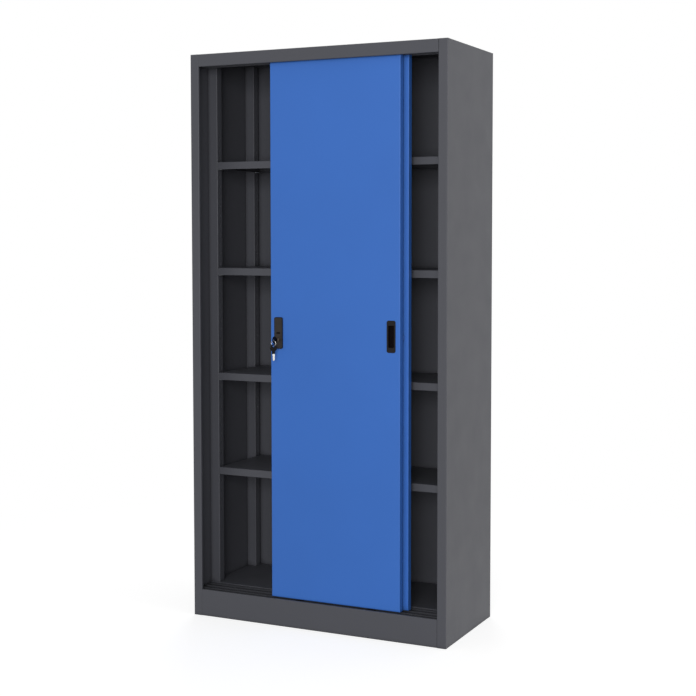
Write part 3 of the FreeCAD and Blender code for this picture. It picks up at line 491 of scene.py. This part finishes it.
class CabinetFinish(bpy.types.PropertyGroup):
    """Colours of the cabinet's finishes."""
    carcass: finish_colour("Carcass", "Powder coat of the carcass", "#4a4b51")
    doors: finish_colour("Doors", "Powder coat of the doors", "#386cbf")
    plastic: finish_colour("Plastic", "Plate rim, pulls and shoes", "#131011")
    plate_face: finish_colour("Plate face", "Raised face of the lock plate", "#272321")
    # also the colour of the sheet of painted shade behind the plate's slot
    recess: finish_colour("Recesses", "Cup of a pull and slot of the plate", "#120c0d")
    key_bow: finish_colour("Key bows", "Moulded heads of the keys", "#09090b")
    nickel: finish_colour("Nickel", "Key blades and ring", "#d2d0cb")
    # partly black nickel, partly painted shade from the key in the lock
    plug: finish_colour("Plug", "Black nickel of the lock's plug", "#3a3532")
    zinc: finish_colour("Zinc", "Clips, brackets and cam", "#b3b6ba")
    nylon: finish_colour("Nylon", "Rollers and glides", "#e4e0d2")
    rubber: finish_colour("Rubber", "Door buffers", "#1c1c1d")


def length(name, description, millimetres):
    """A size setting, given in millimetres and kept in metres."""
    return FloatProperty(name=name, description=description, default=millimetres * MM,
                         min=0, unit="LENGTH", precision=4)


class FittingSizes(bpy.types.PropertyGroup):
    """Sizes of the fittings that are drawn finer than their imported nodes."""
    sheet: length("Sheet", "Thickness of the plinth's sheet", 1)
    bead: length("Bead", "Radius of the welds behind the plinth", 1.6)
    edge: length("Edge", "Edge radius of a moulding", 0.7)
    plate_corner: length("Plate corner", "Corner radius of the lock plate", 5)
    rim: length("Rim", "Black rim round the lock plate's face", 2)
    rim_step: length("Rim step", "Height of the plate's face above its rim", 0.6)
    slot_width: length("Slot width", "Width of the lock plate's slot", 14)
    slot_height: length("Slot height", "Height of the lock plate's slot", 4.5)
    pull_corner: length("Pull corner", "Corner radius of a pull", 6.5)
    recess_width: length("Recess width", "Width of a pull's recess", 20)
    recess_height: length("Recess height", "Height of a pull's recess", 68)
    wall: length("Wall", "Wall of a pull's cup", 1.5)
    rib_pitch: length("Rib pitch", "From rib to rib in a pull", 3)
    rib_height: length("Rib height", "Height of the ribs in a pull", 1)
    bow_radius: length("Key head", "Radius of a key's head", 11.5)
    bow_thickness: length("Head thickness", "Thickness of a key's head", 3.2)
    bow_hole: length("Key hole", "Radius of the hole for the ring", 3.6)
    hole_inset: length("Hole inset", "From the hole's middle to the head's end", 6)
    neck_half: length("Neck", "Half the width of a key's neck", 5)
    wire: length("Wire", "Radius of the ring's wire", 0.4)
    turns: IntProperty(name="Turns", description="Quarter turns of the split ring", default=8)
    spare_turn: FloatProperty(name="Spare turn", description="Turn of the spare key about upright",
                              default=math.radians(-40), subtype="ANGLE")


class StudioStage(bpy.types.PropertyGroup):
    """Camera, lamps and floor."""
    eye: FloatVectorProperty(name="Eye", description="Where the camera stands", subtype="XYZ",
                             unit="LENGTH", default=(1.96157, -4.03363, 1.26889))
    yaw: FloatProperty(name="Yaw", description="Turn of the camera to the left", subtype="ANGLE",
                       default=0.44788)
    pitch: FloatProperty(name="Pitch", description="Tilt of the camera upward", subtype="ANGLE",
                         default=-0.05833)
    roll: FloatProperty(name="Roll", description="Lean of the camera", subtype="ANGLE",
                        default=0.0009)
    focal: FloatProperty(name="Focal length", description="Lens, on a 36 mm sensor",
                         default=70.741, unit="CAMERA")
    rise: FloatProperty(name="Shift", description="Vertical shift of the lens, share of the frame",
                        default=-0.05)
    fill: FloatProperty(name="Fill", description="Level of the light from all round",
                        default=0.45)
    front_power: FloatProperty(name="Front lamp", description="Watts of the lamp in front",
                               default=235, unit="POWER")
    side_power: FloatProperty(name="Side lamp", description="Watts of the lamp at the right",
                              default=38, unit="POWER")
    back_power: FloatProperty(name="Back lamp", description="Watts of the lamp behind",
                              default=110, unit="POWER")
    floor_radius: FloatProperty(name="Floor", description="Radius of the floor", unit="LENGTH",
                                default=9)


# ------------------------------------------------------------------------- operators
WELD_LEVELS_MM = range(2, 87, 4)     # points of a weld behind the plinth, above its foot


class CABINET_OT_carcass(bpy.types.Operator):
    """Paints the folded sheet parts that stand still, and lays the welds behind the plinth"""
    bl_idname = "cabinet.carcass"
    bl_label = "Carcass"

    def execute(self, context):
        for node in CARCASS_NODES:
            paint_node(context, node, OTHER_FINISHES.get(node, "anthracite_paint"))
        low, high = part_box("plinth")
        sizes = context.scene.fitting_sizes
        line = [(0, 0, level * MM) for level in WELD_LEVELS_MM]
        for side, x in (("left", low.x), ("right", high.x)):
            behind = Vector((x, low.y + sizes.sheet + sizes.bead, low.z))
            bead = wire_piece(f"plinth_weld_{side}", line, sizes.bead, Matrix.Translation(behind))
            finish_piece(context, bead, "anthracite_paint", "carcass")
        return {"FINISHED"}


class CABINET_OT_doors(bpy.types.Operator):
    """Paints both doors and finishes what they run on"""
    bl_idname = "cabinet.doors"
    bl_label = "Doors"

    def execute(self, context):
        for door in DOORS:
            for part, kind in DOOR_FINISHES.items():
                paint_node(context, f"{door}_door_{part}", kind)
        paint_node(context, "lock_catch", "blue_paint")
        return {"FINISHED"}


RECESS_CORNER = 2.5 * MM


class CABINET_OT_pulls(bpy.types.Operator):
    """Draws the flush pull of each door, with its ribbed cup"""
    bl_idname = "cabinet.pulls"
    bl_label = "Pulls"

    def execute(self, context):
        sizes = context.scene.fitting_sizes
        for door in DOORS:
            node = f"{door}_door_pull"
            low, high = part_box(node)
            face = front_centre(node)
            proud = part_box(f"{door}_door_panel")[0].y - low.y
            outlines = [rounded_box(high.x - low.x, high.z - low.z, sizes.pull_corner),
                        rounded_box(sizes.recess_width, sizes.recess_height, RECESS_CORNER)]
            rim_place = Matrix.Translation(face + Vector((0, proud / 2, 0))) @ STANDING
            rim = flat_piece(f"{door}_pull_rim", outlines, proud, sizes.edge, rim_place)
            cup = mesh_piece(f"{door}_pull_cup", self.ribbed_cup(sizes, high.y - low.y),
                             Matrix.Translation(face))
            finish_piece(context, rim, "black_plastic", f"{door}_door", [node])
            finish_piece(context, cup, "dark_recess", f"{door}_door", [node])
        return {"FINISHED"}

    @staticmethod
    def ribbed_cup(sizes, depth):
        """An open cup behind the face, with upright ribs on its floor."""
        shape = bmesh.new()
        half_x, half_z = sizes.recess_width / 2, sizes.recess_height / 2
        outer = [(x * (half_x + sizes.wall), z * (half_z + sizes.wall)) for x, z in BOX_CORNERS]
        inner = [(x * half_x, z * half_z) for x, z in BOX_CORNERS]
        front, floor = sizes.edge, depth - sizes.wall
        rings = [[shape.verts.new((x, y, z)) for x, z in ring]
                 for ring, y in ((outer, depth), (outer, front), (inner, front), (inner, floor))]
        for near, far in zip(rings, rings[1:]):
            for a, b in ((0, 1), (1, 2), (2, 3), (3, 0)):
                shape.faces.new((near[a], near[b], far[b], far[a]))
        shape.faces.new(rings[0])
        shape.faces.new(rings[-1])
        count = int(2 * half_x / sizes.rib_pitch)
        rib_half = sizes.rib_pitch / 3
        for i in range(count):
            middle = (i - (count - 1) / 2) * sizes.rib_pitch
            rib = [(middle - rib_half, floor), (middle, floor - sizes.rib_height),
                   (middle + rib_half, floor)]
            ends = [[shape.verts.new((x, y, z * half_z)) for x, y in rib] for z in (-1, 1)]
            for a, b in ((0, 1), (1, 2)):
                shape.faces.new((ends[0][a], ends[0][b], ends[1][b], ends[1][a]))
        return shape


BORE_CLEARANCE = 0.1 * MM        # round the plug
SLOT_CORNER = 0.8 * MM
FACE_CORNER_LESS = 1.5 * MM      # the face's corners are that much sharper than the plate's
FACE_EDGE = 0.5 * MM
FACE_BACK = 1 * MM               # the face ends that far in front of the plate's back
SLOT_SHADE_MARGIN = 1 * MM          # the dark strip behind the slot, a sheet of painted shade, is that much larger
SLOT_SHADE_THICKNESS, SLOT_SHADE_EDGE, SLOT_SHADE_DEPTH = 0.4 * MM, 0.1 * MM, 0.3 * MM


class CABINET_OT_lock(bpy.types.Operator):
    """Draws the lock plate in two tones, and finishes the lock behind it"""
    bl_idname = "cabinet.lock"
    bl_label = "Lock"

    def execute(self, context):
        sizes = context.scene.fitting_sizes
        low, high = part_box("lock_plate")
        width, height, proud = high.x - low.x, high.z - low.z, high.y - low.y
        plug_low, plug_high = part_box("lock_plug")
        plug_height = (plug_low.z + plug_high.z - low.z - high.z) / 2
        bore = circle((plug_high.z - plug_low.z) / 2 + BORE_CLEARANCE, plug_height)
        opening = rounded_box(sizes.slot_width, sizes.slot_height, SLOT_CORNER)
        outer = rounded_box(width, height, sizes.plate_corner)
        inner = rounded_box(width - 2 * sizes.rim, height - 2 * sizes.rim,
                            sizes.plate_corner - FACE_CORNER_LESS)
        slot_shade_outline = rounded_box(sizes.slot_width + SLOT_SHADE_MARGIN,
                              sizes.slot_height + SLOT_SHADE_MARGIN, SLOT_SHADE_MARGIN)
        rim_depth, face_depth = proud - sizes.rim_step, proud - FACE_BACK

        def standing(depth):
            middle = front_centre("lock_plate") + Vector((0, depth, 0))
            return Matrix.Translation(middle) @ STANDING

        rim = flat_piece("lock_plate_rim", [outer, bore, opening], rim_depth, sizes.edge,
                         standing(sizes.rim_step + rim_depth / 2))
        face = flat_piece("lock_plate_face", [inner, bore, opening], face_depth, FACE_EDGE,
                          standing(face_depth / 2))
        # a dark sheet behind the slot: painted shade where the slot opens into the door
        slot = flat_piece("lock_plate_slot", [slot_shade_outline], SLOT_SHADE_THICKNESS, SLOT_SHADE_EDGE,
                          standing(proud - SLOT_SHADE_DEPTH))
        for piece, kind in ((rim, "black_plastic"), (face, "plate_face"),
                            (slot, "dark_recess")):
            finish_piece(context, piece, kind, "front_door", ["lock_plate"])
        # the plug's darkness is partly black nickel, partly painted shade from the key
        paint_node(context, "lock_plug", "dark_nickel")
        paint_node(context, "lock_case", "nickel_steel")
        for node in ("lock_cam", "cam_screw"):
            paint_node(context, node, "zinc_steel")
        return {"FINISHED"}


# drawing plane stood on its edge, square to the front
ON_EDGE = Matrix(((0, 0, 1, 0), (0, 1, 0, 0), (-1, 0, 0, 0), (0, 0, 0, 1)))
HEAD_EDGE = 0.8 * MM
HEAD_STEPS = 44                  # round a key's head, from one side of the neck to the other
RING_STEPS = 10                  # to a quarter turn
CROSSING_START, CROSSING_LENGTH = 0.6, 0.5       # in turns, where the wire changes sides


class CABINET_OT_keys(bpy.types.Operator):
    """Draws the round heads of both keys and the split ring, and finishes the blades"""
    bl_idname = "cabinet.keys"
    bl_label = "Keys"

    def execute(self, context):
        sizes = context.scene.fitting_sizes
        for node in ("key_blade", "spare_key_blade"):
            paint_node(context, node, "nickel_steel")
        for node, body in (("key_bow", "key"), ("spare_key_bow", "spare_key")):
            reach, placement = self.bow_place(sizes, node)
            bow = flat_piece(f"{node}_round", self.bow_outlines(sizes, reach),
                             sizes.bow_thickness, HEAD_EDGE, placement)
            finish_piece(context, bow, "gloss_plastic", body, [node])
        low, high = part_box("key_ring")
        radius = (high.x - low.x) / 2 - 2 * sizes.wire
        pitch = high.y - low.y - 2 * sizes.wire
        points = []
        for i in range(sizes.turns * RING_STEPS + 1):
            turn = i / (4 * RING_STEPS)
            crossed = min(max(turn - CROSSING_START, 0) / CROSSING_LENGTH, 1)
            along = pitch * crossed - pitch / 2
            points.append((radius * math.sin(2 * math.pi * turn), along,
                           radius * math.cos(2 * math.pi * turn)))
        ring = wire_piece("split_ring", points, sizes.wire, Matrix.Translation((low + high) / 2))
        finish_piece(context, ring, "nickel_steel", "key", ["key_ring"])
        return {"FINISHED"}

    @staticmethod
    def bow_place(sizes, node):
        """A key's head: the length from its hole to the neck's end, and the placement of its
        drawing plane, whose second axis runs that way from the middle of the hole."""
        low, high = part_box(node)
        middle = (low + high) / 2
        if node == "key_bow":
            hole = Vector((middle.x, low.y + sizes.hole_inset, middle.z))
            return high.y - hole.y, Matrix.Translation(hole) @ ON_EDGE
        hole = Vector((middle.x, middle.y, high.z - sizes.hole_inset))
        hanging = (Matrix.Rotation(sizes.spare_turn, 4, "Z")
                   @ Matrix.Rotation(-math.pi / 2, 4, "X"))
        return hole.z - low.z, Matrix.Translation(hole) @ hanging @ ON_EDGE

    @staticmethod
    def bow_outlines(sizes, reach):
        """A round head with a straight neck, and the hole for the ring at the origin."""
        centre = sizes.bow_radius - sizes.hole_inset
        start = math.asin(sizes.neck_half / sizes.bow_radius)
        head = []
        for i in range(HEAD_STEPS + 1):
            angle = start + (2 * math.pi - 2 * start) * i / HEAD_STEPS
            head.append((sizes.bow_radius * math.sin(angle),
                         centre + sizes.bow_radius * math.cos(angle)))
        neck = [(-sizes.neck_half, reach), (sizes.neck_half, reach)]
        return [head + neck, circle(sizes.bow_hole)]


# each lamp's place, what it faces, and its width
SOFTBOXES = {
    "front": ((2.1, -6.1, 1.7), (0, -0.2, 1.0), 2.4),
    "side": ((4.2, -0.4, 1.7), (0.45, 0, 1.0), 2.2),
    "back": ((-2.4, 5.2, 2.2), (0, 0.2, 1.0), 2.4),
}
FLOOR_SEGMENTS = 64
BOUNCE_GREY = (0.2, 0.2, 0.2, 1)     # what the floor sends back up to the cabinet
SHADOW_GREY = (0.55, 0.55, 0.55, 1)  # the share of the floor's white that a shadow darkens
SHADOW_GLOW = 0.66                   # the share that it doesn't
FADE_START, FADE_END = 0.7, 2.2      # from the cabinet's middle, where the floor turns to air
SENSOR_MM = 36
CLIP_NEAR, CLIP_FAR = 0.05, 60


class CABINET_OT_stage(bpy.types.Operator):
    """Sets the pale floor, the soft lamps and the camera"""
    bl_idname = "cabinet.stage"
    bl_label = "Stage"

    def execute(self, context):
        stage = context.scene.studio_stage
        self.set_world(context.scene, stage)
        self.lay_floor(context.scene, stage)
        for side, (place, target, width) in SOFTBOXES.items():
            self.hang_lamp(context.scene, f"{side}_softbox", place, target, width,
                           getattr(stage, f"{side}_power"))
        self.stand_camera(context.scene, stage)
        context.scene.view_settings.view_transform = "Standard"
        return {"FINISHED"}

    def set_world(self, scene, stage):
        """White where it is seen or mirrored, dimmer as a light."""
        world = bpy.data.worlds.new("studio_air")
        scene.world = world
        tree = empty_tree(world)
        seen = background_seen(tree)
        light = add_node(tree, "Background", {"Color": WHITE, "Strength": stage.fill})
        white = add_node(tree, "Background", {"Color": WHITE, "Strength": 1})
        mixed = add_node(tree, "MixShader", {0: seen, 1: light.outputs[0], 2: white.outputs[0]})
        add_node(tree, "OutputWorld", {"Surface": mixed.outputs[0]})

    def lay_floor(self, scene, stage):
        """A pale paper floor that runs into the white air and keeps a faint shadow."""
        mesh = bpy.data.meshes.new("studio_floor")
        shape = bmesh.new()
        bmesh.ops.create_circle(shape, cap_ends=True, segments=FLOOR_SEGMENTS,
                                radius=stage.floor_radius)
        shape.to_mesh(mesh)
        shape.free()
        floor = bpy.data.objects.new("studio_floor", mesh)
        scene.collection.objects.link(floor)
        floor.location.z = CAD_LOW.z
        material, tree, place = new_material("white_paper_floor")
        seen = background_seen(tree)
        paper = add_node(tree, "BsdfDiffuse", {"Color": BOUNCE_GREY}).outputs[0]
        white = add_node(tree, "BsdfDiffuse", {"Color": SHADOW_GREY}).outputs[0]
        glow = add_node(tree, "Emission", {"Color": WHITE, "Strength": SHADOW_GLOW}).outputs[0]
        near = add_node(tree, "AddShader", {0: white, 1: glow}).outputs[0]
        far = add_node(tree, "Emission", {"Color": WHITE, "Strength": 1}).outputs[0]
        away = add_node(tree, "VectorMath", {0: place}, operation="LENGTH").outputs["Value"]
        fade = add_node(tree, "MapRange", {"Value": away, "From Min": FADE_START,
                                           "From Max": FADE_END},
                        interpolation_type="SMOOTHSTEP").outputs["Result"]
        shown = add_node(tree, "MixShader", {0: fade, 1: near, 2: far}).outputs[0]
        mixed = add_node(tree, "MixShader", {0: seen, 1: paper, 2: shown}).outputs[0]
        add_node(tree, "OutputMaterial", {"Surface": mixed})
        mesh.materials.append(material)

    def hang_lamp(self, scene, name, place, target, width, watts):
        """A square lamp that the camera doesn't see."""
        lamp = bpy.data.lights.new(name, "AREA")
        lamp.shape = "SQUARE"
        lamp.size = width
        lamp.energy = watts
        holder = bpy.data.objects.new(name, lamp)
        holder.location = place
        holder.rotation_mode = "QUATERNION"
        holder.rotation_quaternion = (Vector(place) - Vector(target)).to_track_quat("Z", "Y")
        holder.visible_camera = False
        scene.collection.objects.link(holder)

    def stand_camera(self, scene, stage):
        """A camera with its settings' place, turn and lens."""
        lens = bpy.data.cameras.new("studio_camera")
        lens.lens = stage.focal
        lens.sensor_width = SENSOR_MM
        lens.shift_y = stage.rise
        lens.clip_start = CLIP_NEAR
        lens.clip_end = CLIP_FAR
        camera = bpy.data.objects.new("studio_camera", lens)
        camera.location = stage.eye
        camera.rotation_euler = (math.pi / 2 + stage.pitch, stage.roll, stage.yaw)
        scene.collection.objects.link(camera)
        scene.camera = camera


class CABINET_PT_panel(bpy.types.Panel):
    """The cabinet's operators and settings"""
    bl_idname = "CABINET_PT_panel"
    bl_label = "Sliding door cabinet"
    bl_space_type = "VIEW_3D"
    bl_region_type = "UI"
    bl_category = "Cabinet"

    def draw(self, context):
        scene = context.scene
        for operator in OPERATORS:
            self.layout.operator(operator.bl_idname)
        for group in (scene.cabinet_finish, scene.fitting_sizes, scene.studio_stage):
            box = self.layout.box()
            for name in group.__annotations__:
                box.prop(group, name)


OPERATORS = (CABINET_OT_carcass, CABINET_OT_doors, CABINET_OT_pulls, CABINET_OT_lock,
             CABINET_OT_keys, CABINET_OT_stage)
CLASSES = (CabinetFinish, FittingSizes, StudioStage, *OPERATORS, CABINET_PT_panel)


def register():
    for item in CLASSES:
        bpy.utils.register_class(item)
    bpy.types.Scene.cabinet_finish = PointerProperty(type=CabinetFinish)
    bpy.types.Scene.fitting_sizes = PointerProperty(type=FittingSizes)
    bpy.types.Scene.studio_stage = PointerProperty(type=StudioStage)


def unregister():
    del bpy.types.Scene.cabinet_finish
    del bpy.types.Scene.fitting_sizes
    del bpy.types.Scene.studio_stage
    for item in reversed(CLASSES):
        bpy.utils.unregister_class(item)


def main():
    register()
    bpy.ops.cabinet.carcass()
    bpy.ops.cabinet.doors()
    bpy.ops.cabinet.pulls()
    bpy.ops.cabinet.lock()
    bpy.ops.cabinet.keys()
    bpy.ops.cabinet.stage()


if __name__ == "__main__":
    main()
